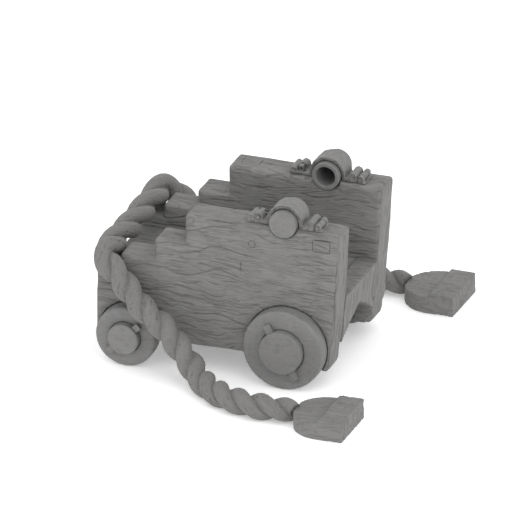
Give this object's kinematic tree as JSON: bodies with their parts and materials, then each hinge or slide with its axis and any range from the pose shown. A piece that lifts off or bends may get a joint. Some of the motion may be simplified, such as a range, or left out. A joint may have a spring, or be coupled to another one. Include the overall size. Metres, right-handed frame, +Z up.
{
  "type": "naval gun truck carriage",
  "caption": "Stepped wooden truck carriage for a ship's gun, with cap squares over the trunnion bushes, solid trucks and a heavy rope to anchor blocks.",
  "frame": {"origin": "on the ground, under the middle of the carriage's own box, rope and anchor blocks left out", "axes": "+Z up, +X to the front, +Y to the carriage's left side"},
  "size_m": [1.2224, 1.564, 0.775],
  "materials": {
    "oak": "weathered, coarse grain",
    "elm": "weathered, sawn face",
    "block_wood": "weathered",
    "iron": "forged, dull",
    "hemp": "laid hemp rope"
  },
  "bodies": {
    "carriage": {"cheek_right": "oak", "cheek_left": "oak", "cheek_peg_right_1": "oak", "cheek_peg_right_2": "oak", "cheek_peg_left_1": "oak", "cheek_peg_left_2": "oak", "inlay_side": "oak", "inlay_top": "oak", "front_transom": "oak", "bed_plank_1": "oak", "bed_plank_2": "oak", "bed_plank_3": "oak", "fore_bolster": "oak", "hind_bolster": "oak", "transom_dowel": "oak", "hind_dowel": "oak", "fore_axletree": "oak", "hind_axletree": "oak", "anchor_block_right": "block_wood", "anchor_block_left": "block_wood", "linchpin_fore_right": "iron", "linchpin_fore_left": "iron", "linchpin_hind_right": "iron", "linchpin_hind_left": "iron", "trunnion_bush_right": "iron", "trunnion_bush_left": "iron", "cap_hinge_base_right": "iron", "cap_hinge_base_left": "iron", "cap_hinge_pin_right": "iron", "cap_hinge_pin_left": "iron", "cap_stud_right": "iron", "cap_stud_left": "iron", "breeching_rope": "hemp"},
    "truck_fore_right_body": {"truck_fore_right": "elm"},
    "truck_fore_left_body": {"truck_fore_left": "elm"},
    "truck_hind_right_body": {"truck_hind_right": "elm"},
    "truck_hind_left_body": {"truck_hind_left": "elm"},
    "cap_right": {"cap_square_right": "iron"},
    "key_right": {"cap_key_right": "iron"},
    "cap_left": {"cap_square_left": "iron"},
    "key_left": {"cap_key_left": "iron"}
  },
  "joints": [
    {"name": "truck_fore_right_spin", "type": "hinge", "parent": "carriage", "child": "truck_fore_right_body", "pos_m": [0.299, -0.338, 0.17], "axis": [0, 1, 0], "continuous": true},
    {"name": "truck_fore_left_spin", "type": "hinge", "parent": "carriage", "child": "truck_fore_left_body", "pos_m": [0.299, 0.338, 0.17], "axis": [0, 1, 0], "continuous": true},
    {"name": "truck_hind_right_spin", "type": "hinge", "parent": "carriage", "child": "truck_hind_right_body", "pos_m": [-0.37, -0.338, 0.127], "axis": [0, 1, 0], "continuous": true},
    {"name": "truck_hind_left_spin", "type": "hinge", "parent": "carriage", "child": "truck_hind_left_body", "pos_m": [-0.37, 0.338, 0.127], "axis": [0, 1, 0], "continuous": true},
    {"name": "cap_right_hinge", "type": "hinge", "parent": "carriage", "child": "cap_right", "pos_m": [0.424, -0.259, 0.699], "axis": [0, 1, 0], "range_deg": [0, 110]},
    {"name": "key_right_slide", "type": "slide", "parent": "cap_right", "child": "key_right", "axis": [0, 1, 0], "range_m": [0, 0.036]},
    {"name": "cap_left_hinge", "type": "hinge", "parent": "carriage", "child": "cap_left", "pos_m": [0.424, 0.239, 0.699], "axis": [0, 1, 0], "range_deg": [0, 110]},
    {"name": "key_left_slide", "type": "slide", "parent": "cap_left", "child": "key_left", "axis": [0, -1, 0], "range_m": [0, 0.036]}
  ]
}
